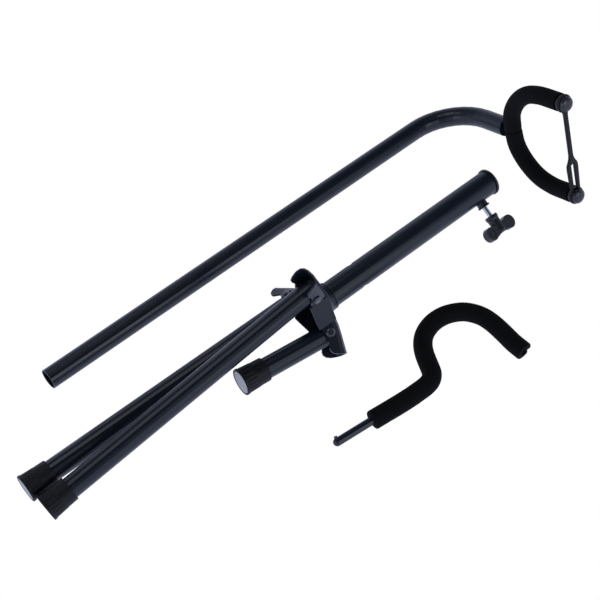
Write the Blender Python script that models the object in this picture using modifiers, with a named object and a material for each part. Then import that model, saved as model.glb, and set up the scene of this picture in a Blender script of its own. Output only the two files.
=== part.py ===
"""Didgeridoo stand, taken apart and lying on a floor: a folded tripod base with its column, a bent
neck with a padded yoke and rubber strap, and a padded support hook. Metres, +Z up."""

from math import atan2, cos, pi, radians, sin, sqrt

import bmesh
import bpy
from mathutils import Matrix, Vector

MM = 0.001

# Column and its clamp. Heights along the column are counted from the plane of the leg pivots.
COLUMN_RADIUS = 14.0
COLUMN_WALL = 1.5
COLUMN_FOOT = 28.6
COLUMN_TOP = 259.4
RING_RADIUS = 15.4
RING_HEIGHT = 2.6
COLLAR_FLANGE_RADIUS = 15.3
COLLAR_FLANGE_HEIGHT = 3.0
COLLAR_NECK_HEIGHT = 0.9
COLLAR_DEPTH = 34.0
CLAMP_HEIGHT = 239.0
SCREW_RADIUS = 2.75
BOSS_RADIUS = 6.0
BOSS_LENGTH = 6.0
BOSS_FLANGE_RADIUS = 6.9
KNOB_REACH = 54.0
KNOB_COLLAR_RADIUS = 7.4
WING_SPAN = 32.0
WING_RADIUS = 7.9
WING_WAIST = 5.4
WING_THICKNESS = 8.0
SCREW_SHOWS = 11.5
HOOK_HOLE_HEIGHT = 67.4

# Pressed leg bracket.
SHEET = 2.0
PIVOT_RADIUS = 31.0
ARM_HALF_WIDTH = 13.5
ROOF_BEND = 9.5
HUB_CORNER = 23.8
HUB_TOP = 15.6
SKIRT = -5.3
BOSS_TOP = 25.4
NECK_PASSAGE = 12.5
ROOF = ((0.0, 20.1), (11.9, 19.4), (21.9, 17.4), (31.0, 15.2), (40.1, 12.0), (49.8, 8.2), (58.7, 4.9))
EAR = ((57.8, 2.3), (53.8, -5.7), (50.5, -9.6), (47.0, -11.0), (43.8, -10.3), (41.0, -8.0), (38.0, -5.9))

# Legs and feet.
LEG_RADIUS = 11.0
LEG_WALL = 1.2
LEG_HEAD = 5.5
LONG_LEG = 329.0
SHORT_LEG = 104.5
RIVET_RADIUS = 3.0
RIVET_HEAD_RADIUS = 5.0
RIVET_HEAD_HEIGHT = 2.0
FOOT_HEIGHT = 29.0
FOOT_COLLAR_RADIUS = 12.7
FOOT_BASE_RADIUS = 13.8
FOOT_RIM_RADIUS = 14.4
FOOT_RIM_HEIGHT = 2.6
FOOT_FLOOR = 4.0
FOOT_RIBS = 16
RIB_DEPTH = 0.35
PAD_RADIUS = 12.2
PAD_HEIGHT = 1.6

# Neck and yoke.
NECK_RADIUS = 11.0
NECK_WALL = 1.2
NECK_STRAIGHT = 526.0
NECK_BEND = 58.0
NECK_ANGLE = 93.4
NECK_REACH = 45.0
ROD_RADIUS = 4.35
FOAM_RADIUS = 10.0
STEM_RADIUS = 5.0
YOKE_PATH = ((0.0, 0.0), (2.4, 20.8), (13.8, 39.5), (31.0, 53.0), (51.3, 58.6), (73.2, 59.0), (83.0, 58.9))
YOKE_FOAM_END = 82.0
CAP_BASE = 83.0
CAP_BASE_HEIGHT = 3.0
CAP_GROOVE_HEIGHT = 3.6
CAP_HEAD_HEIGHT = 6.0
CAP_RADIUS = 8.6
CAP_GROOVE_RADIUS = 6.0
STRAP_THICKNESS = 3.0
STRAP_RING_WIDTH = 3.9
STRAP_LOOP_HALF_WIDTH = 8.0
STRAP_HALF_WIDTH = 2.7
STRAP_LOOP_START = 17.0

# Hook, as a route on the floor.
HOOK_ROD = ((-73.0, -122.2), (-50.0, -124.4), (-23.1, -127.0), (3.4, -130.0), (21.3, -131.6))
HOOK_ROUTE = (
    (30.5, -131.9), (40.5, -132.1), (49.5, -130.6), (56.5, -125.8), (60.7, -118.6), (64.5, -110.4), (69.0, -101.8),
    (75.5, -93.0), (84.0, -86.0), (94.5, -81.6), (105.8, -79.8), (117.5, -81.0), (128.0, -85.0), (137.0, -91.0),
    (143.6, -99.4), (147.8, -109.0), (149.4, -120.0), (149.2, -132.0), (148.4, -143.0), (147.6, -153.0),
)
HOOK_END = (148.0, -168.0)
HOOK_BARE = 47.0
HOOK_ROD_SHORT = 7.0
HOOK_FOAM_RADIUS = 10.1
KEY_RADIUS = 1.8
KEY_FROM_TIP = 5.0
KEY_HEIGHT = 1.6

# Clearances.
GAP = 0.3
RUNNING = 0.1

# Where the three lie on the floor.
SHIFT = Vector((-12.55, 10.59, 0.0))
BASE_TILT = 1.639
BASE_HEIGHT = 40.6
NECK_START = Vector((-242.3, 122.1))
NECK_YAW = 1.53
NECK_ROLL = 20.85
LEG_FOLD = {"near": 8.43, "short": 6.33, "far": -0.5}
ARM_TURN = {"near": 0.0, "short": 120.0, "far": 240.0}
TURN_STEPS = 32

for old in list(bpy.data.objects):
    bpy.data.objects.remove(old, do_unlink=True)

scene = bpy.context.scene
stand = bpy.data.collections.new("didgeridoo_stand")
cutters = bpy.data.collections.new("cutters")
scene.collection.children.link(stand)
scene.collection.children.link(cutters)


def material(name, colour, roughness, metallic=0.0):
    made = bpy.data.materials.new(name)
    made.use_nodes = True
    surface = made.node_tree.nodes["Principled BSDF"]
    surface.inputs["Base Color"].default_value = (*colour, 1.0)
    surface.inputs["Roughness"].default_value = roughness
    surface.inputs["Metallic"].default_value = metallic
    return made


PAINT = (0.016, 0.018, 0.027)
FOAM = (0.006, 0.006, 0.008)
RUBBER = (0.012, 0.013, 0.017)
PLASTIC = (0.010, 0.012, 0.017)
ZINC = (0.62, 0.64, 0.68)
PAD = (0.34, 0.35, 0.37)


def add(name, mesh, frame, look=None):
    """A named mesh object placed by a frame in millimetres. Without a look it is a cutter."""
    made = bpy.data.objects.new(name, mesh)
    (stand if look else cutters).objects.link(made)
    placed = frame.copy()
    placed.translation = (frame.translation + SHIFT) * MM
    made.matrix_world = placed
    if look:
        mesh.materials.clear()
        mesh.materials.append(material(name + "_finish", *look))
    else:
        made.hide_render = True
        made.display_type = "WIRE"
    return made


def turned(profile, steps=TURN_STEPS):
    """Mesh of a profile of (radius, height) turned about Z: down its outer side from the top."""
    work = bpy.data.meshes.new("turned")
    bm = bmesh.new()
    points = [bm.verts.new((r * MM, 0, z * MM)) for r, z in profile]
    closed = profile[0][0] > 0 and profile[-1][0] > 0
    pairs = [(a, b) for a, b in zip(points, points[1:]) if a.co.x > 0 or b.co.x > 0]
    edges = [bm.edges.new(pair) for pair in pairs]
    if closed:
        edges.append(bm.edges.new((points[-1], points[0])))
    bmesh.ops.spin(bm, geom=points + edges, cent=(0, 0, 0), axis=(0, 0, 1), angle=2 * pi, steps=steps)
    bmesh.ops.remove_doubles(bm, verts=bm.verts, dist=1e-6)
    bmesh.ops.recalc_face_normals(bm, faces=bm.faces)
    bm.to_mesh(work)
    bm.free()
    return work


def pipe(outer, inner, low, high, steps=TURN_STEPS):
    return turned(((outer, high), (outer, low), (inner, low), (inner, high)), steps)


def rod(radius, low, high, steps=24):
    return turned(((0, high), (radius, high), (radius, low), (0, low)), steps)


def flat(outlines, thickness):
    """Mesh of one outline with its holes, extruded equally to both sides of the XY plane."""
    curve = bpy.data.curves.new("flat", "CURVE")
    curve.dimensions = "2D"
    curve.fill_mode = "BOTH"
    curve.extrude = thickness * MM / 2
    for outline in outlines:
        line = curve.splines.new("POLY")
        line.points.add(len(outline) - 1)
        for point, (x, y) in zip(line.points, outline):
            point.co = (x * MM, y * MM, 0, 1)
        line.use_cyclic_u = True
    holder = bpy.data.objects.new("flat", curve)
    cutters.objects.link(holder)
    made = bpy.data.meshes.new_from_object(holder.evaluated_get(bpy.context.evaluated_depsgraph_get()))
    bpy.data.objects.remove(holder)
    bm = bmesh.new()
    bm.from_mesh(made)
    bmesh.ops.remove_doubles(bm, verts=bm.verts, dist=1e-6)
    bmesh.ops.recalc_face_normals(bm, faces=bm.faces)
    bm.to_mesh(made)
    bm.free()
    return made


def lofted(rings, caps=True):
    """Mesh of rings of points in millimetres joined one to the next."""
    work = bpy.data.meshes.new("lofted")
    bm = bmesh.new()
    rows = [[bm.verts.new(Vector(p) * MM) for p in ring] for ring in rings]
    pairs = list(zip(rows, rows[1:])) + ([] if caps else [(rows[-1], rows[0])])
    for one, two in pairs:
        for k in range(len(one)):
            bm.faces.new((one[k - 1], one[k], two[k], two[k - 1]))
    if caps:
        bm.faces.new(rows[0])
        bm.faces.new(reversed(rows[-1]))
    bmesh.ops.recalc_face_normals(bm, faces=bm.faces)
    bm.to_mesh(work)
    bm.free()
    return work


def swept(route, outer, inner=0.0, steps=24, upward=(0, 0, 1), dome=False):
    """Mesh of a round bar or tube along a flat route of points in millimetres."""
    route = [Vector((*p, 0)[:3]) for p in route]
    upward = Vector(upward)
    frames = []
    for k, at in enumerate(route):
        along = (route[min(k + 1, len(route) - 1)] - route[max(k - 1, 0)]).normalized()
        bend = 1.0
        if 0 < k < len(route) - 1:
            bend = cos((route[k + 1] - at).angle(at - route[k - 1]) / 2)
        frames.append((at, along.cross(upward).normalized() / bend))

    def ring(at, across, radius):
        return [at + radius * (across * cos(2 * pi * k / steps) + upward * sin(2 * pi * k / steps))
                for k in range(steps)]

    rings = [ring(at, across, outer) for at, across in frames]
    if dome:
        back = (route[0] - route[1]).normalized()
        for angle in (25, 50, 72):
            out = sin(radians(angle)) * outer * back
            rings.insert(0, ring(frames[0][0] + out, frames[0][1], outer * cos(radians(angle))))
    if inner:
        rings += [ring(at, across, inner) for at, across in reversed(frames)]
    return lofted(rings, caps=not inner)


def eased(points, per_span=3):
    """A smooth route through a list of points."""
    points = [Vector((*p, 0)[:3]) for p in points]
    ends = [2 * points[0] - points[1]] + points + [2 * points[-1] - points[-2]]
    route = []
    for a, b, c, d in zip(ends, ends[1:], ends[2:], ends[3:]):
        for k in range(per_span):
            t = k / per_span
            route.append(
                0.5 * (2 * b + (c - a) * t + (2 * a - 5 * b + 4 * c - d) * t**2 + (3 * b - 3 * c + d - a) * t**3)
            )
    return route + [points[-1]]


def trimmed(route, start, end):
    """A route without its first and last stretch, given as lengths."""
    for skip in (start, end):
        left = skip
        while left > 0:
            step = (route[1] - route[0]).length
            if step > left:
                route = [route[0].lerp(route[1], left / step)] + route[1:]
                break
            left -= step
            route = route[1:]
        route = route[::-1]
    return route


def cut(target, *tools, how="DIFFERENCE"):
    for tool in tools:
        step = target.modifiers.new(tool.name, "BOOLEAN")
        step.operation = how
        step.solver = "EXACT"
        step.object = tool


def shade(target, angle=35):
    target.data.shade_smooth()
    target.data.set_sharp_from_angle(angle=radians(angle))


# Base: Z runs up the column, X to the near leg's side, Y to the camera's side.
tilt = radians(BASE_TILT)
base = Matrix(
    (
        (-sin(tilt), 0, cos(tilt), 0),
        (0, -1, 0, 0),
        (cos(tilt), 0, sin(tilt), BASE_HEIGHT),
        (0, 0, 0, 1),
    )
)


def turn(axis, degrees):
    return Matrix.Rotation(radians(degrees), 4, axis)


def move(x=0.0, y=0.0, z=0.0):
    return Matrix.Translation((x, y, z))


arms = {side: base @ turn("Z", ARM_TURN[side]) for side in ARM_TURN}
side_on = arms["short"] @ turn("Y", 90)

column = add("column_tube", pipe(COLUMN_RADIUS, COLUMN_RADIUS - COLUMN_WALL, COLUMN_FOOT, COLUMN_TOP),
             base, (PAINT, 0.34))
clamp = side_on @ move(x=-CLAMP_HEIGHT)
screw_hole = add("cut_screw_hole", rod(SCREW_RADIUS + GAP, 5, 30), clamp)
hook_hole = add("cut_hook_hole", rod(ROD_RADIUS + GAP, -30, 30), side_on @ move(x=-HOOK_HOLE_HEIGHT))
cut(column, screw_hole, hook_hole)

collar_inner = NECK_RADIUS + GAP
collar_outer = COLUMN_RADIUS - COLUMN_WALL - GAP
flange_low = COLUMN_TOP + GAP + COLLAR_NECK_HEIGHT
flange_top = flange_low + COLLAR_FLANGE_HEIGHT
collar = add(
    "column_collar",
    turned(
        (
            (collar_inner + 0.8, flange_top),
            (COLLAR_FLANGE_RADIUS - 0.7, flange_top),
            (COLLAR_FLANGE_RADIUS, flange_top - 0.8),
            (COLLAR_FLANGE_RADIUS, flange_low),
            (COLUMN_RADIUS - 0.4, flange_low),
            (COLUMN_RADIUS - 0.4, COLUMN_TOP + GAP),
            (collar_outer, COLUMN_TOP + GAP),
            (collar_outer, COLUMN_TOP - COLLAR_DEPTH),
            (collar_inner, COLUMN_TOP - COLLAR_DEPTH),
            (collar_inner, flange_top - 0.8),
        )
    ),
    base,
    (PLASTIC, 0.38),
)
cut(collar, screw_hole)

add(
    "column_ring",
    turned(
        (
            (RING_RADIUS - 0.5, COLUMN_FOOT - GAP),
            (RING_RADIUS, COLUMN_FOOT - GAP - 0.6),
            (RING_RADIUS, COLUMN_FOOT - GAP - RING_HEIGHT + 0.6),
            (RING_RADIUS - 0.5, COLUMN_FOOT - GAP - RING_HEIGHT),
            (NECK_PASSAGE, COLUMN_FOOT - GAP - RING_HEIGHT),
            (NECK_PASSAGE, COLUMN_FOOT - GAP),
        )
    ),
    base,
    (PAINT, 0.34),
)

# Clamp boss, screw and wing knob: Z points away from the column.
boss_top = COLUMN_RADIUS + BOSS_LENGTH
boss = add(
    "clamp_boss",
    turned(
        (
            (BOSS_FLANGE_RADIUS - 0.4, boss_top),
            (BOSS_FLANGE_RADIUS, boss_top - 0.5),
            (BOSS_FLANGE_RADIUS, boss_top - 1.8),
            (BOSS_RADIUS, boss_top - 2.2),
            (BOSS_RADIUS, COLUMN_RADIUS - 4),
            (SCREW_RADIUS + RUNNING, COLUMN_RADIUS - 4),
            (SCREW_RADIUS + RUNNING, boss_top),
        ),
        24,
    ),
    clamp,
    (PAINT, 0.4),
)
cut(boss, add("cut_boss_seat", rod(COLUMN_RADIUS + GAP, 180, 300, 64), base))
knob_low = boss_top + SCREW_SHOWS
screw_tip = COLUMN_RADIUS - COLUMN_WALL + 0.4
screw_end = knob_low + 9
add("clamp_screw",
    turned(((0, screw_end), (SCREW_RADIUS, screw_end), (SCREW_RADIUS, screw_tip + 0.8),
            (SCREW_RADIUS - 0.8, screw_tip), (0, screw_tip)), 24),
    clamp, (ZINC, 0.3, 0.9))

knob = add(
    "wing_knob",
    turned(
        (
            (0, KNOB_REACH),
            (4.6, KNOB_REACH - 0.6),
            (6.4, KNOB_REACH - 3.0),
            (6.6, knob_low + 5.4),
            (KNOB_COLLAR_RADIUS, knob_low + 3.2),
            (KNOB_COLLAR_RADIUS, knob_low + 0.5),
            (KNOB_COLLAR_RADIUS - 0.5, knob_low),
            (0, knob_low),
        ),
        24,
    ),
    clamp,
    (PLASTIC, 0.42),
)
knob_turn = turn("Z", -14)
wing_height = KNOB_REACH - 5.6
lobe = []
for side in (1, -1):
    for k in range(15):
        angle = radians(-122 + 244 * k / 14)
        lobe.append((side * (WING_SPAN / 2 + WING_RADIUS * cos(angle)),
                     side * WING_RADIUS * sin(angle)))
    lobe.append((side * 4.5, side * WING_WAIST))
    lobe.append((-side * 4.5, side * WING_WAIST))
wings = add("cut_wings", flat([lobe], WING_THICKNESS),
            clamp @ knob_turn @ move(z=wing_height) @ turn("X", 90))
edge = wings.modifiers.new("rounded", "BEVEL")
edge.width = 1.4 * MM
edge.segments = 2
edge.limit_method = "ANGLE"
edge.angle_limit = radians(50)
cut(knob, wings, how="UNION")
for side in (1, -1):
    dish = add(f"cut_dish_{side}", pipe(4.6, 3.5, WING_THICKNESS / 2 - 0.6, 20, 16),
               clamp @ knob_turn @ move(x=side * WING_SPAN / 2, z=wing_height) @ turn("X", side * 90))
    cut(knob, dish)
cut(knob, add("cut_knob_bore", rod(SCREW_RADIUS + GAP, 0, screw_end + GAP), clamp))

# Leg bracket: three pressed channels round a hub, opened from below.


def roof_height(r):
    points = ROOF
    for (r0, a0), (r1, a1) in zip(points, points[1:]):
        if r <= r1 or r1 == points[-1][0]:
            return a0 + (a1 - a0) * (r - r0) / (r1 - r0)


def channel(name, half, drop, bend, start, reach, frame):
    """A bar under the roof line with rounded upper corners, from the hub outwards."""
    rings = []
    for r in [start] + [r for r, _ in ROOF[1:-1]] + [ROOF[-1][0] + reach]:
        top = roof_height(r) - drop
        corner = [(bend * sin(pi / 6 * k), bend * (1 - cos(pi / 6 * k))) for k in range(4)]
        right = [(half - bend + x, top - z) for x, z in corner]
        section = [(-half, -60)] + [(-x, z) for x, z in reversed(right)] + right + [(half, -60)]
        rings.append([(r, t, a) for t, a in section])
    return add(name, lofted(rings), frame)


def hexagon(inset):
    corners = []
    for side in ARM_TURN.values():
        for across in (-1, 1):
            angle = radians(side) + across * atan2(ARM_HALF_WIDTH, HUB_CORNER)
            reach = sqrt(HUB_CORNER**2 + ARM_HALF_WIDTH**2) - inset
            corners.append((reach * cos(angle), reach * sin(angle)))
    return corners


def hub(inset, levels):
    rings = [[(x, y, z) for x, y in hexagon(inset + more)] for more, z in levels]
    return lofted(rings)


outer_hub = hub(0.2, ((1.3, SKIRT - 2.6), (0.4, SKIRT - 1.6), (0, SKIRT + 0.4), (0, HUB_TOP - 3.5), (0.9, HUB_TOP - 1.2), (3.2, HUB_TOP)))
bracket = add("leg_bracket", outer_hub, base, (PAINT, 0.32))
ear_outline = [(0, 40), (ROOF[-1][0], 40)] + [ROOF[-1]] + list(EAR) + [(0, SKIRT)]
outside = []
for side in ARM_TURN:
    arm = channel(f"cut_arm_{side}", ARM_HALF_WIDTH, 0, ROOF_BEND, 8, 12, arms[side])
    cut(arm, add(f"cut_ear_{side}", flat([ear_outline], 3 * ARM_HALF_WIDTH), arms[side] @ turn("X", 90)),
        how="INTERSECT")
    outside.append(arm)
cup = add(
    "cut_cup",
    turned(
        (
            (0, BOSS_TOP),
            (RING_RADIUS - 0.4, BOSS_TOP),
            (RING_RADIUS, BOSS_TOP - 0.6),
            (RING_RADIUS + 0.4, BOSS_TOP - 4),
            (RING_RADIUS + 3.6, HUB_TOP + 0.6),
            (RING_RADIUS + 3.6, HUB_TOP - 1),
            (0, HUB_TOP - 1),
        )
    ),
    base,
)
cut(bracket, *outside, cup, how="UNION")
wall_inset = SHEET * 1.16
hollow = add("cut_hub", hub(wall_inset, ((0, -60), (0, HUB_TOP - SHEET - 2), (2, HUB_TOP - SHEET))), base)
inside = [channel(f"cut_inside_{side}", ARM_HALF_WIDTH - SHEET, SHEET, ROOF_BEND - SHEET, 4, 30, arms[side])
          for side in ARM_TURN]
passage = add("cut_passage", rod(NECK_PASSAGE, -40, 60, 40), base)
cut(bracket, passage, hollow, *inside)
for side in ARM_TURN:
    pin = arms[side] @ move(x=PIVOT_RADIUS) @ turn("X", 90)
    cut(bracket, add(f"cut_rivet_{side}", rod(RIVET_RADIUS + GAP, -30, 30), pin))
    seat = ARM_HALF_WIDTH + GAP
    top = seat + RIVET_HEAD_HEIGHT
    add(
        f"rivet_{side}",
        turned(
            (
                (0, top - 0.7),
                (1.6, top - 0.7),
                (1.9, top),
                (3.2, top),
                (RIVET_HEAD_RADIUS - 0.8, top - 0.5),
                (RIVET_HEAD_RADIUS, top - 1.2),
                (RIVET_HEAD_RADIUS, seat),
                (RIVET_RADIUS, seat),
                (RIVET_RADIUS, -seat),
                (RIVET_HEAD_RADIUS, -seat),
                (RIVET_HEAD_RADIUS, -top + 1.2),
                (3.2, -top),
                    (0, -top),
            ),
            16,
        ),
        pin,
        (PAINT, 0.25, 0.4),
    )

# Legs: the origin is on the pivot and Z runs up the leg.


def ribbed_foot():
    outline = (
        (FOOT_COLLAR_RADIUS - 0.4, FOOT_HEIGHT),
        (FOOT_COLLAR_RADIUS, FOOT_HEIGHT - 0.5),
        (FOOT_COLLAR_RADIUS + 0.2, FOOT_HEIGHT - 11.0),
        (FOOT_COLLAR_RADIUS + 0.7, FOOT_HEIGHT - 12.5),
        (FOOT_BASE_RADIUS, FOOT_RIM_HEIGHT + 0.6),
        (FOOT_RIM_RADIUS, FOOT_RIM_HEIGHT),
        (FOOT_RIM_RADIUS, 0.6),
        (FOOT_RIM_RADIUS - 0.6, 0),
        (PAD_RADIUS + GAP, 0),
        (PAD_RADIUS + GAP, PAD_HEIGHT + GAP),
        (0, PAD_HEIGHT + GAP),
        (0, FOOT_FLOOR),
        (LEG_RADIUS + GAP, FOOT_FLOOR),
        (LEG_RADIUS + GAP, FOOT_HEIGHT),
    )
    mesh = turned(outline, 2 * FOOT_RIBS)
    ribbed = [round(z * MM, 6) for _, z in outline[3:5]]
    for vertex in mesh.vertices:
        if round(vertex.co.z, 6) in ribbed and vertex.co.xy.length > FOOT_COLLAR_RADIUS * MM:
            turn_step = round(atan2(vertex.co.y, vertex.co.x) / pi * FOOT_RIBS)
            if turn_step % 2:
                vertex.co.xy *= 1 - 2 * RIB_DEPTH / FOOT_RIM_RADIUS
    return mesh


legs = {}
for side, length in (("near", LONG_LEG), ("far", LONG_LEG), ("short", SHORT_LEG)):
    leg = arms[side] @ move(x=PIVOT_RADIUS) @ turn("Y", LEG_FOLD[side])
    low = -length + FOOT_FLOOR + GAP
    shaft = add(f"leg_{side}", pipe(LEG_RADIUS, LEG_RADIUS - LEG_WALL, low, LEG_HEAD, 24), leg, (PAINT, 0.33))
    cut(shaft, add(f"cut_pivot_{side}", rod(RIVET_RADIUS + RUNNING, -30, 30), leg @ turn("X", 90)))
    add(f"foot_{side}", ribbed_foot(), leg @ move(z=-length), (RUBBER, 0.6))
    add(f"pad_{side}", rod(PAD_RADIUS, 0.3, PAD_HEIGHT, 32), leg @ move(z=-length), (PAD, 0.85))

# Neck: X runs up the tube and Y points to the side that it bends to.
yaw = radians(NECK_YAW)
roll = radians(NECK_ROLL)
level = Vector((sin(yaw), -cos(yaw), 0))
along = Vector((cos(yaw), sin(yaw), 0))
across = level * cos(roll) + Vector((0, 0, sin(roll)))
neck = Matrix((along, across, along.cross(across))).transposed().to_4x4()
neck.translation = (NECK_START.x, NECK_START.y, NECK_RADIUS)
bent = radians(NECK_ANGLE)
bend_end = Vector((NECK_STRAIGHT + NECK_BEND * sin(bent), NECK_BEND * (1 - cos(bent)), 0))
yoke_at = bend_end + NECK_REACH * Vector((cos(bent), sin(bent), 0))
yoke = neck @ Matrix.Translation(yoke_at) @ turn("Z", NECK_ANGLE) @ turn("X", 90)
tube_stop = FOAM_RADIUS + 2 * GAP
route = [Vector((0, 0, 0)), Vector((NECK_STRAIGHT - 2, 0, 0))]
for k in range(10):
    t = bent * k / 9
    route.append(Vector((NECK_STRAIGHT + NECK_BEND * sin(t), NECK_BEND * (1 - cos(t)), 0)))
route.append(bend_end.lerp(yoke_at, 1 - tube_stop / NECK_REACH))
add("neck_tube", swept(route, NECK_RADIUS, NECK_RADIUS - NECK_WALL, 24), neck, (PAINT, 0.33))

half = [Vector((*p, 0)) for p in YOKE_PATH]
arm = eased(half, 2)
arm_route = [Vector((p.x, -p.y, 0)) for p in reversed(arm[1:])] + arm
middle = len(arm_route) // 2
ends = [p + Vector((6, 0, 0)) for p in (arm_route[0], arm_route[-1])]
yoke_rod = add("yoke_rod", swept(ends[:1] + arm_route + ends[1:], ROD_RADIUS, 0, 12), yoke, (PAINT, 0.33))
stem = turned(
    (
        (0, -1),
        (STEM_RADIUS, -1),
        (STEM_RADIUS, -tube_stop + 0.2),
        (NECK_RADIUS - NECK_WALL - GAP, -tube_stop - GAP),
        (NECK_RADIUS - NECK_WALL - GAP, -tube_stop - 16),
        (0, -tube_stop - 16),
    ),
    24,
)
cut(yoke_rod, add("cut_stem", stem, yoke @ turn("Y", 90)), how="UNION")
room = add("cut_stem_room", rod(STEM_RADIUS + GAP, -30, 0, 32), yoke @ turn("Y", 90))
for name, run in (("yoke_foam_lower", arm_route[middle:]), ("yoke_foam_upper", arm_route[middle::-1])):
    run = trimmed(run, 0, YOKE_PATH[-1][0] - YOKE_FOAM_END)
    side = 1 if name.endswith("lower") else -1
    run = [Vector((0, side * GAP / 2, 0)), Vector((0, side * 4, 0))] + run[1:]
    sleeve = add(name, swept(run, FOAM_RADIUS, ROD_RADIUS + GAP, 18), yoke, (FOAM, 0.95))
    cut(sleeve, room)

cap = (
    (0, CAP_BASE_HEIGHT + CAP_GROOVE_HEIGHT + CAP_HEAD_HEIGHT),
    (CAP_RADIUS * 0.55, CAP_BASE_HEIGHT + CAP_GROOVE_HEIGHT + CAP_HEAD_HEIGHT - 0.5),
    (CAP_RADIUS * 0.88, CAP_BASE_HEIGHT + CAP_GROOVE_HEIGHT + CAP_HEAD_HEIGHT - 1.9),
    (CAP_RADIUS, CAP_BASE_HEIGHT + CAP_GROOVE_HEIGHT + CAP_HEAD_HEIGHT - 3.6),
    (CAP_RADIUS, CAP_BASE_HEIGHT + CAP_GROOVE_HEIGHT + 0.5),
    (CAP_RADIUS - 0.5, CAP_BASE_HEIGHT + CAP_GROOVE_HEIGHT),
    (CAP_GROOVE_RADIUS, CAP_BASE_HEIGHT + CAP_GROOVE_HEIGHT),
    (CAP_GROOVE_RADIUS, CAP_BASE_HEIGHT),
    (CAP_RADIUS - 0.5, CAP_BASE_HEIGHT),
    (CAP_RADIUS, CAP_BASE_HEIGHT - 0.5),
    (CAP_RADIUS, 0.5),
    (CAP_RADIUS - 0.5, 0),
    (ROD_RADIUS + GAP, 0),
    (ROD_RADIUS + GAP, 6 + GAP),
    (0, 6 + GAP),
)
arm_end = half[-1]
for name, side in (("yoke_cap_lower", 1), ("yoke_cap_upper", -1)):
    add(name, turned(cap, 20), yoke @ move(CAP_BASE, side * arm_end.y) @ turn("Y", 90), (PLASTIC, 0.3))

# Strap: drawn with X from the upper cap to the lower one.


def bow(x, radius, start, stop, count):
    return [(x + radius * cos(radians(start + (stop - start) * k / count)),
             radius * sin(radians(start + (stop - start) * k / count))) for k in range(count + 1)]


reach = arm_end.y
eye = CAP_GROOVE_RADIUS + GAP
outer_eye = eye + STRAP_RING_WIDTH
loop_half = STRAP_LOOP_HALF_WIDTH
outline = bow(-reach, outer_eye, 22, 338, 28) + [(STRAP_LOOP_START - 12, -STRAP_HALF_WIDTH)]
outline += [(STRAP_LOOP_START - 6, -STRAP_HALF_WIDTH - 1.8), (STRAP_LOOP_START, -loop_half)]
outline += bow(reach, outer_eye, -140, 140, 26)
outline += [(x, -y) for x, y in reversed(outline[29:32])]
slot = [(STRAP_LOOP_START, -2.4)] + bow(reach, eye, -156, 156, 28) + [(STRAP_LOOP_START, 2.4)]
upper_eye = bow(-reach, eye, 0, 348.75, 31)
strap_mid = CAP_BASE + CAP_BASE_HEIGHT + CAP_GROOVE_HEIGHT / 2
facing = Matrix(((0, 0, 1, 0), (1, 0, 0, 0), (0, 1, 0, 0), (0, 0, 0, 1)))
add("strap", flat([outline, upper_eye, slot], STRAP_THICKNESS), yoke @ move(strap_mid) @ facing, (RUBBER, 0.55))

# Hook, lying flat.
lying = move(z=HOOK_FOAM_RADIUS)
path = eased(list(HOOK_ROD) + list(HOOK_ROUTE) + [HOOK_END], 1)
tip = path[0]
inward = (path[1] - tip).normalized()
bar = trimmed(path, ROD_RADIUS, HOOK_ROD_SHORT)
hook_rod = add("hook_rod", swept(bar, ROD_RADIUS, 0, 12, dome=True), lying, (PAINT, 0.33))
key_at = tip + inward * KEY_FROM_TIP
key = add("cut_key", rod(KEY_RADIUS, 0, ROD_RADIUS + KEY_HEIGHT, 16),
          lying @ move(key_at.x, key_at.y) @ turn("X", -40))
cut(hook_rod, key, how="UNION")
add("hook_foam", swept(trimmed(path, HOOK_BARE, 0), HOOK_FOAM_RADIUS, ROD_RADIUS + GAP, 18), lying, (FOAM, 0.95))

for item in stand.objects:
    shade(item)
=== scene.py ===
from math import cos, pi, radians, sin

import bmesh
import bpy
from mathutils import Matrix, Vector, noise


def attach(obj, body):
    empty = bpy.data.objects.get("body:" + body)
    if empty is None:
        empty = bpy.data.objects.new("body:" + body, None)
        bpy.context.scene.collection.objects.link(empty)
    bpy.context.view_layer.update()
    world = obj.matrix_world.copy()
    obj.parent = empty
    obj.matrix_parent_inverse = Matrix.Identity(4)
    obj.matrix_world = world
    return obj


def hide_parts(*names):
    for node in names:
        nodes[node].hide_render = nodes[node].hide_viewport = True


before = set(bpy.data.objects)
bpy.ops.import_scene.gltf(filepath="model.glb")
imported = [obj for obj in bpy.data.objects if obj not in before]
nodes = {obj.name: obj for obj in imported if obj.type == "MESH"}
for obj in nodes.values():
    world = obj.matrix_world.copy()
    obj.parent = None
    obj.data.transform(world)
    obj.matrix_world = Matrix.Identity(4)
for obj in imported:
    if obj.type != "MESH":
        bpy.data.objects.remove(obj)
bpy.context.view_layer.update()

mm = 0.001
shift = Vector((-12.55, 10.59, 0.0))  # from the measuring frame to the row frame
scene = bpy.context.scene


# Shader maths

class Socket:
    def __init__(self, tree, link):
        self.tree, self.link = tree, link

    def math(self, operation, other):
        return self.tree.node("ShaderNodeMath", {"operation": operation}, self, other)

    def __add__(self, other):
        return self.math("ADD", other)

    def __mul__(self, other):
        return self.math("MULTIPLY", other)

    __radd__, __rmul__ = __add__, __mul__


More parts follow.
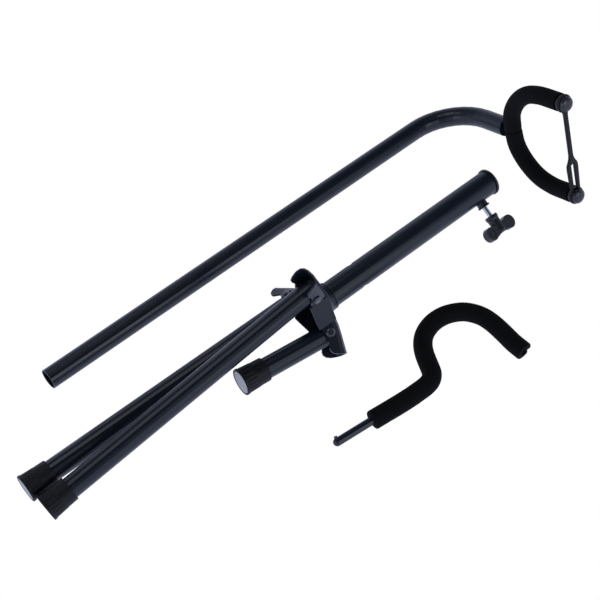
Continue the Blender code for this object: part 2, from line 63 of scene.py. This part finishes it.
class Shader:
    def __init__(self, name):
        self.material = bpy.data.materials.new(name)
        self.material.use_nodes = True
        self.nodes = self.material.node_tree.nodes
        self.links = self.material.node_tree.links
        self.surface = self.nodes["Principled BSDF"]

    def plug(self, value, socket):
        if isinstance(value, Socket):
            self.links.new(value.link, socket)
        elif value is not None:
            socket.default_value = value

    def node(self, kind, settings, *values, output=0, **named):
        made = self.nodes.new(kind)
        for key, value in settings.items():
            setattr(made, key, value)
        for socket, value in zip(made.inputs, values):
            self.plug(value, socket)
        for key, value in named.items():
            self.plug(value, made.inputs[key])
        return Socket(self, made.outputs[output])

    def place(self):
        return self.node("ShaderNodeTexCoord", {}, output=3)

    def noise(self, scale, detail=2.0, rough=0.5):
        return self.node("ShaderNodeTexNoise", {}, Vector=self.place(), Scale=scale, Detail=detail,
                         Roughness=rough)

    def mix(self, factor, one, two):
        made = self.nodes.new("ShaderNodeMix")
        made.data_type = "RGBA"
        self.plug(factor, made.inputs[0])
        self.plug((*one, 1) if not isinstance(one, Socket) else one, made.inputs[6])
        self.plug((*two, 1) if not isinstance(two, Socket) else two, made.inputs[7])
        return Socket(self, made.outputs[2])

    def bump(self, height, strength, distance):
        self.plug(self.node("ShaderNodeBump", {}, Strength=strength, Distance=distance, Height=height),
                  self.surface.inputs["Normal"])

    def set(self, **values):
        for key, value in values.items():
            self.plug(value, self.surface.inputs[key.replace("_", " ")])
        return self


paintLook = {"deep": (0.006, 0.010, 0.019), "light": (0.009, 0.014, 0.026), "roughness": 0.26, "coat": 0.0}


def paintedMetal(name, look=paintLook):
    paint = Shader(name)
    cloud = paint.noise(45.0, 3.0)
    paint.set(Base_Color=paint.mix(cloud, look["deep"], look["light"]),
              Roughness=cloud * 0.10 + look["roughness"], Coat_Weight=look["coat"], Coat_Roughness=0.22)
    paint.bump(paint.noise(900.0, 2.0), 0.05, 0.0002)
    return paint.material


foamLook = {"deep": (0.0022, 0.0022, 0.0027), "light": (0.0065, 0.0065, 0.0075), "grain": 1400.0}


def blackFoam(name, look=foamLook):
    foam = Shader(name)
    grain = foam.noise(look["grain"], 4.0, 0.7)
    foam.set(Base_Color=foam.mix(grain, look["deep"], look["light"]), Roughness=0.96, Specular_IOR_Level=0.18)
    foam.bump(grain + foam.noise(220.0, 2.0) * 0.8, 0.35, 0.0006)
    return foam.material


rubberLook = {"deep": (0.0035, 0.004, 0.006), "light": (0.008, 0.009, 0.012)}


def blackRubber(name, look=rubberLook):
    rubber = Shader(name)
    bloom = rubber.noise(70.0, 4.0, 0.6)
    rubber.set(Base_Color=rubber.mix(bloom, look["deep"], look["light"]), Roughness=bloom * 0.12 + 0.46,
               Specular_IOR_Level=0.3)
    rubber.bump(rubber.noise(700.0, 2.0), 0.08, 0.0003)
    return rubber.material


def blackPlastic(name):
    plastic = Shader(name)
    cloud = plastic.noise(60.0, 2.0)
    plastic.set(Base_Color=plastic.mix(cloud, (0.007, 0.008, 0.012), (0.012, 0.013, 0.019)),
                Roughness=cloud * 0.08 + 0.30, Coat_Weight=0.2, Coat_Roughness=0.25)
    return plastic.material


def greyPad(name):
    pad = Shader(name)
    grime = pad.noise(160.0, 5.0, 0.65)
    pad.set(Base_Color=pad.mix(grime, (0.42, 0.43, 0.45), (0.66, 0.67, 0.68)), Roughness=0.9)
    pad.bump(pad.noise(900.0, 2.0), 0.15, 0.0003)
    return pad.material


def zincPlate(name):
    zinc = Shader(name)
    wear = zinc.noise(300.0, 4.0, 0.6)
    zinc.set(Base_Color=zinc.mix(wear, (0.45, 0.46, 0.49), (0.80, 0.81, 0.83)), Roughness=wear * 0.2 + 0.2,
             Metallic=1.0)
    threads = zinc.node("ShaderNodeTexWave", {"bands_direction": "X"}, Vector=zinc.place(), Scale=160.0)
    zinc.bump(threads, 0.25, 0.0004)
    return zinc.material


paint = paintedMetal("bluePaint")
foam = blackFoam("foam")
rubber = blackRubber("rubber")
plastic = blackPlastic("plastic")
pad = greyPad("endPad")
zinc = zincPlate("zinc")
rivetPaint = paintedMetal("rivetPaint", {"deep": (0.02, 0.022, 0.032), "light": (0.05, 0.052, 0.07),
                                         "roughness": 0.18, "coat": 0.6})
finishes = {
    "column_tube": paint, "column_ring": paint, "clamp_boss": paint, "leg_bracket": paint, "leg_near": paint,
    "leg_far": paint, "leg_short": paint, "neck_tube": paint, "yoke_rod": paint, "hook_rod": paint,
    "rivet_near": rivetPaint, "rivet_far": rivetPaint, "rivet_short": rivetPaint, "column_collar": plastic,
    "wing_knob": plastic, "yoke_cap_lower": plastic, "yoke_cap_upper": plastic, "clamp_screw": zinc,
    "pad_near": pad, "pad_far": pad, "pad_short": pad,
}

for name, finish in finishes.items():
    mesh = nodes[name].data
    mesh.materials.clear()
    mesh.materials.append(finish)
print("finishes on the rigid pieces")


# Frames of the pieces, as the solids have them

def turn(axis, degrees):
    return Matrix.Rotation(radians(degrees), 4, axis)


def move(x=0.0, y=0.0, z=0.0):
    return Matrix.Translation((x, y, z))


def addMesh(name, bm, place, finish, body, replaced, slot):
    mesh = bpy.data.meshes.new(name)
    bmesh.ops.remove_doubles(bm, verts=bm.verts, dist=0.001)
    bmesh.ops.recalc_face_normals(bm, faces=bm.faces)
    for face in bm.faces:
        face.smooth = True
    bm.transform(place)
    bm.transform(Matrix.Translation(shift))
    bm.transform(Matrix.Scale(mm, 4))
    bm.to_mesh(mesh)
    bm.free()
    made = bpy.data.objects.new(name, mesh)
    scene.collection.objects.link(made)
    mesh.set_sharp_from_angle(angle=radians(42))
    mesh.materials.append(finish)
    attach(made, body)
    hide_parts(replaced)
    return made


def eased(points, perSpan):
    points = [Vector((*p, 0)[:3]) for p in points]
    ends = [2 * points[0] - points[1]] + points + [2 * points[-1] - points[-2]]
    route = []
    for a, b, c, d in zip(ends, ends[1:], ends[2:], ends[3:]):
        for k in range(perSpan):
            t = k / perSpan
            route.append(0.5 * (2 * b + (c - a) * t + (2 * a - 5 * b + 4 * c - d) * t**2
                                + (3 * b - 3 * c + d - a) * t**3))
    return route + [points[-1]]


def trimmed(route, start, end):
    for skip in (start, end):
        left = skip
        while left > 0:
            step = (route[1] - route[0]).length
            if step > left:
                route = [route[0].lerp(route[1], left / step)] + route[1:]
                break
            left -= step
            route = route[1:]
        route = route[::-1]
    return route


def sleeve(route, outer, inner, steps=48, soft=1.4, squareStart=None, slit=0.0):
    up = Vector((0, 0, 1))
    slitAt = radians(210)
    count = len(route)
    rings = []
    for k, at in enumerate(route):
        along = (route[min(k + 1, count - 1)] - route[max(k - 1, 0)]).normalized()
        if k == 0 and squareStart:
            along = Vector(squareStart)
        rings.append((at, along, along.cross(up).normalized()))
    profile = [(0, 0.0, inner), (0, 0.0, outer - soft), (0, soft * 0.3, outer - soft * 0.3), (0, soft, outer)]
    profile += [(k, 0.0, outer) for k in range(1, count - 1)]
    profile += [(-1, -soft, outer), (-1, -soft * 0.3, outer - soft * 0.3), (-1, 0.0, outer - soft),
                (-1, 0.0, inner)]
    profile += [(k, 0.0, inner) for k in range(count - 2, 0, -1)]
    bm = bmesh.new()
    rows = []
    for k, offset, radius in profile:
        at, along, side = rings[k]
        row = []
        for j in range(steps):
            angle = 2 * pi * j / steps
            out = side * cos(angle) + up * sin(angle)
            back = slit * max(0.0, 1 - abs(angle - slitAt) / 0.3) if k == -1 else 0.0
            bumpy = 1.0 if radius < outer - soft else 1 + 0.012 * noise.noise((at + out * outer) * 0.09)
            row.append(bm.verts.new(at + along * (offset - back) + out * min(radius * bumpy, outer)))
        rows.append(row)
    for one, two in zip(rows, rows[1:] + rows[:1]):
        for j in range(steps):
            bm.faces.new((one[j - 1], one[j], two[j], two[j - 1]))
    return bm


neckPlace = {"start": (-242.3, 122.1), "yaw": 1.53, "roll": 20.85, "radius": 11.0, "straight": 526.0,
             "bend": 58.0, "angle": 93.4, "reach": 45.0}
yaw, roll = radians(neckPlace["yaw"]), radians(neckPlace["roll"])
level = Vector((sin(yaw), -cos(yaw), 0))
along = Vector((cos(yaw), sin(yaw), 0))
across = level * cos(roll) + Vector((0, 0, sin(roll)))
neck = Matrix((along, across, along.cross(across))).transposed().to_4x4()
neck.translation = (*neckPlace["start"], neckPlace["radius"])
bent = radians(neckPlace["angle"])
bendEnd = Vector((neckPlace["straight"] + neckPlace["bend"] * sin(bent),
                  neckPlace["bend"] * (1 - cos(bent)), 0))
yokeAt = bendEnd + neckPlace["reach"] * Vector((cos(bent), sin(bent), 0))
yoke = neck @ Matrix.Translation(yokeAt) @ turn("Z", neckPlace["angle"]) @ turn("X", 90)

foamSizes = {"yoke": 10.0, "hook": 10.1, "rod": 4.5, "parting": 0.15, "yokeEnd": 1.0}
yokePath = ((0.0, 0.0), (2.4, 20.8), (13.8, 39.5), (31.0, 53.0), (51.3, 58.6), (73.2, 59.0), (83.0, 58.9))
half = [Vector((*p, 0)) for p in yokePath]
arm = eased(half, 8)
armRoute = [Vector((p.x, -p.y, 0)) for p in reversed(arm[1:])] + arm
middle = len(armRoute) // 2
for name, side, run in (("yokeFoamLower", 1, armRoute[middle:]), ("yokeFoamUpper", -1, armRoute[middle::-1])):
    run = trimmed(run, 0, foamSizes["yokeEnd"])
    run = [Vector((0, side * foamSizes["parting"], 0)), Vector((0.2, side * 3.5, 0))] + run[2:]
    node = "yoke_foam_" + name[8:].lower()
    shape = sleeve(run, foamSizes["yoke"], foamSizes["rod"], squareStart=(0, side, 0))
    made = addMesh(name, shape, yoke, foam, "neck", node, node)
print("yoke foam")

hookRoute = (
    (-73.0, -122.2), (-50.0, -124.4), (-23.1, -127.0), (3.4, -130.0), (21.3, -131.6),
    (30.5, -131.9), (40.5, -132.1), (49.5, -130.6), (56.5, -125.8), (60.7, -118.6), (64.5, -110.4),
    (69.0, -101.8), (75.5, -93.0), (84.0, -86.0), (94.5, -81.6), (105.8, -79.8), (117.5, -81.0),
    (128.0, -85.0), (137.0, -91.0),
    (143.6, -99.4), (147.8, -109.0), (149.4, -120.0), (149.2, -132.0), (148.4, -143.0), (147.6, -153.0),
    (148.0, -168.0),
)
hookRun = trimmed(eased(hookRoute, 4), 47.0, 0)
hookFoam = addMesh("hookFoam", sleeve(hookRun, foamSizes["hook"], foamSizes["rod"], slit=3.4),
                   move(z=foamSizes["hook"]), foam, "hook", "hook_foam", "hook_foam")
print("hook foam")


# Feet

baseTilt = radians(1.639)
base = Matrix(((-sin(baseTilt), 0, cos(baseTilt), 0), (0, -1, 0, 0), (cos(baseTilt), 0, sin(baseTilt), 40.6),
               (0, 0, 0, 1)))
footLook = {"height": 29.0, "collar": 12.7, "base": 13.8, "rim": 14.4, "rimHeight": 2.6, "padRoom": 12.5,
            "padDepth": 1.9, "floor": 4.0, "bore": 11.1, "ribs": 20, "ribDepth": 0.6, "ribsFrom": 3.6,
            "ribsTo": 16.0}


def foot(look=footLook):
    high = look["height"]
    outline = [(look["bore"], high), (look["collar"] - 0.5, high), (look["collar"] - 0.1, high - 0.3),
               (look["collar"], high - 0.9), (look["collar"] + 0.1, high - 6),
               (look["collar"] + 0.2, high - 11)]
    for k in range(9):
        t = k / 8
        outline.append((look["collar"] + 0.5 + (look["base"] - look["collar"] - 0.5) * t,
                        look["ribsTo"] + (look["ribsFrom"] - look["ribsTo"]) * t))
    outline += [(look["rim"] - 0.2, look["rimHeight"] + 0.3), (look["rim"], look["rimHeight"] - 0.3),
                (look["rim"], 0.7), (look["rim"] - 0.2, 0.2), (look["rim"] - 0.8, 0), (look["padRoom"], 0),
                (look["padRoom"], look["padDepth"]), (0, look["padDepth"]), (0, look["floor"]),
                (look["bore"], look["floor"])]
    steps = look["ribs"] * 8
    bm = bmesh.new()
    rows = []
    for radius, z in outline:
        if radius == 0:
            rows.append([bm.verts.new((0, 0, z))] * steps)
            continue
        row = []
        for j in range(steps):
            angle = 2 * pi * j / steps
            cutIn = 0.0
            if look["ribsFrom"] - 0.1 <= z <= look["ribsTo"] + 0.1 and radius > look["collar"]:
                fade = min(1.0, (look["ribsTo"] - z) / 2.5)
                cutIn = look["ribDepth"] * fade * (0.5 - 0.5 * cos(angle * look["ribs"])) ** 2
            row.append(bm.verts.new(((radius - cutIn) * cos(angle), (radius - cutIn) * sin(angle), z)))
        rows.append(row)
    for one, two in zip(rows, rows[1:] + rows[:1]):
        for j in range(steps):
            corners = []
            for v in (one[j - 1], one[j], two[j], two[j - 1]):
                if v not in corners:
                    corners.append(v)
            if len(corners) > 2:
                bm.faces.new(corners)
    return bm


legs = {"near": (0.0, 8.43, 329.0), "short": (120.0, 6.33, 104.5), "far": (240.0, -0.5, 329.0)}
for side, (armTurn, fold, length) in legs.items():
    place = base @ turn("Z", armTurn) @ move(x=31.0) @ turn("Y", fold) @ move(z=-length)
    addMesh(side + "Foot", foot(), place, rubber, side + "_leg", "foot_" + side, "foot_" + side)
print("feet")


# Strap

strapLook = {"eye": 6.15, "ring": 4.0, "half": 2.7, "loopHalf": 8.0, "loopStart": 17.0, "slot": 2.4,
             "depth": 3.4, "round": 0.9, "reach": 58.9, "at": 87.8}


def bow(x, radius, start, stop, count):
    return [(x + radius * cos(radians(start + (stop - start) * k / count)),
             radius * sin(radians(start + (stop - start) * k / count))) for k in range(count + 1)]


def strap(look=strapLook):
    reach, eye, start, halfWide = look["reach"], look["eye"], look["loopStart"], look["half"]
    outer = eye + look["ring"]
    outline = bow(-reach, outer, 20, 340, 40) + [(-reach + outer + 4, -halfWide), (start - 12, -halfWide)]
    outline += [(start - 8, -halfWide - 0.6), (start - 4, -halfWide - 2.2), (start, -look["loopHalf"] + 0.6),
                (start + 5, -look["loopHalf"])]
    lower = outline[41:]
    outline += bow(reach, outer, -138, 138, 40) + [(x, -y) for x, y in reversed(lower)]
    slot = [(start + 1, -look["slot"])] + bow(reach, eye, -157, 157, 40) + [(start + 1, look["slot"])]
    slot.append((start, 0))
    curve = bpy.data.curves.new("strap", "CURVE")
    curve.dimensions = "2D"
    curve.fill_mode = "BOTH"
    curve.extrude = look["depth"] / 2 - look["round"]
    curve.bevel_depth = look["round"]
    curve.offset = -look["round"]
    curve.bevel_resolution = 3
    for points in (outline, bow(-reach, eye, 0, 351, 39), slot):
        line = curve.splines.new("POLY")
        line.points.add(len(points) - 1)
        for point, (x, y) in zip(line.points, points):
            point.co = (x, y, 0, 1)
        line.use_cyclic_u = True
    holder = bpy.data.objects.new("strapOutline", curve)
    scene.collection.objects.link(holder)
    shape = bpy.data.meshes.new_from_object(holder.evaluated_get(bpy.context.evaluated_depsgraph_get()))
    bpy.data.objects.remove(holder)
    bm = bmesh.new()
    bm.from_mesh(shape)
    return bm


facing = Matrix(((0, 0, 1, 0), (1, 0, 0, 0), (0, 1, 0, 0), (0, 0, 0, 1)))
addMesh("rubberStrap", strap(), yoke @ move(strapLook["at"]) @ facing, rubber, "neck", "strap", "strap")
print("strap")


# Camera, as fitted to the photograph

cameraFit = {"at": (-496.15, -550.31, 1030.4), "turn": -40.093, "down": 37.283, "roll": -0.505,
             "lens": 72.485}
camera = bpy.data.objects.new("camera", bpy.data.cameras.new("camera"))
camera.data.sensor_width = 36
camera.data.lens = cameraFit["lens"]
camera.data.clip_start, camera.data.clip_end = 0.05, 20
camera.matrix_world = (Matrix.Translation(Vector(cameraFit["at"]) * mm) @ turn("Z", cameraFit["turn"])
                       @ turn("X", cameraFit["down"]) @ turn("Z", cameraFit["roll"]))
scene.collection.objects.link(camera)
scene.camera = camera


# Light: white to the camera, bluish and dimmer overhead in reflections, and three soft boxes

studio = {"seen": 1.0, "low": 0.9, "high": 0.03, "from": 0.05, "to": 0.8, "tint": (0.72, 0.78, 1.0)}
world = bpy.data.worlds.new("studio")
scene.world = world
world.use_nodes = True
tree = world.node_tree
path = tree.nodes.new("ShaderNodeLightPath")
background = tree.nodes["Background"]
direction = tree.nodes.new("ShaderNodeTexCoord")
split = tree.nodes.new("ShaderNodeSeparateXYZ")
height = tree.nodes.new("ShaderNodeMapRange")
height.interpolation_type = "SMOOTHSTEP"
height.inputs["From Min"].default_value = studio["from"]
height.inputs["From Max"].default_value = studio["to"]
height.inputs["To Min"].default_value = studio["low"]
height.inputs["To Max"].default_value = studio["high"]
strength = tree.nodes.new("ShaderNodeMix")
strength.inputs[3].default_value = studio["seen"]
tree.links.new(direction.outputs["Generated"], split.inputs["Vector"])
tree.links.new(split.outputs["Z"], height.inputs["Value"])
tree.links.new(path.outputs["Is Camera Ray"], strength.inputs[0])
tree.links.new(height.outputs["Result"], strength.inputs[2])
colour = tree.nodes.new("ShaderNodeMix")
colour.data_type = "RGBA"
colour.inputs[6].default_value = (*studio["tint"], 1)
colour.inputs[7].default_value = (1, 1, 1, 1)
tree.links.new(path.outputs["Is Camera Ray"], colour.inputs[0])
tree.links.new(colour.outputs[2], background.inputs["Color"])
tree.links.new(strength.outputs[0], background.inputs["Strength"])

softBoxes = [
    {"name": "above", "at": (-0.1, 0.55, 1.5), "size": (1.2, 0.5), "power": 3.0, "tint": (0.93, 0.95, 1.0)},
    {"name": "left", "at": (-1.3, -0.2, 0.9), "size": (0.7, 0.7), "power": 2.5, "tint": (0.90, 0.90, 1.0)},
    {"name": "front", "at": (0.3, -1.3, 0.8), "size": (0.9, 0.5), "power": 3.0, "tint": (0.92, 0.97, 1.0)},
]
for box in softBoxes:
    light = bpy.data.lights.new(box["name"], "AREA")
    light.shape = "RECTANGLE"
    light.size, light.size_y = box["size"]
    light.energy = box["power"]
    light.color = box["tint"]
    lamp = bpy.data.objects.new(box["name"], light)
    lamp.location = box["at"]
    lamp.rotation_euler = (-Vector(box["at"])).to_track_quat("-Z", "Y").to_euler()
    scene.collection.objects.link(lamp)
print("camera and light")

scene.render.engine = "CYCLES"
scene.view_settings.view_transform = "Standard"
scene.render.resolution_x = scene.render.resolution_y = 600
scene.cycles.samples = 96
scene.cycles.use_denoising = True
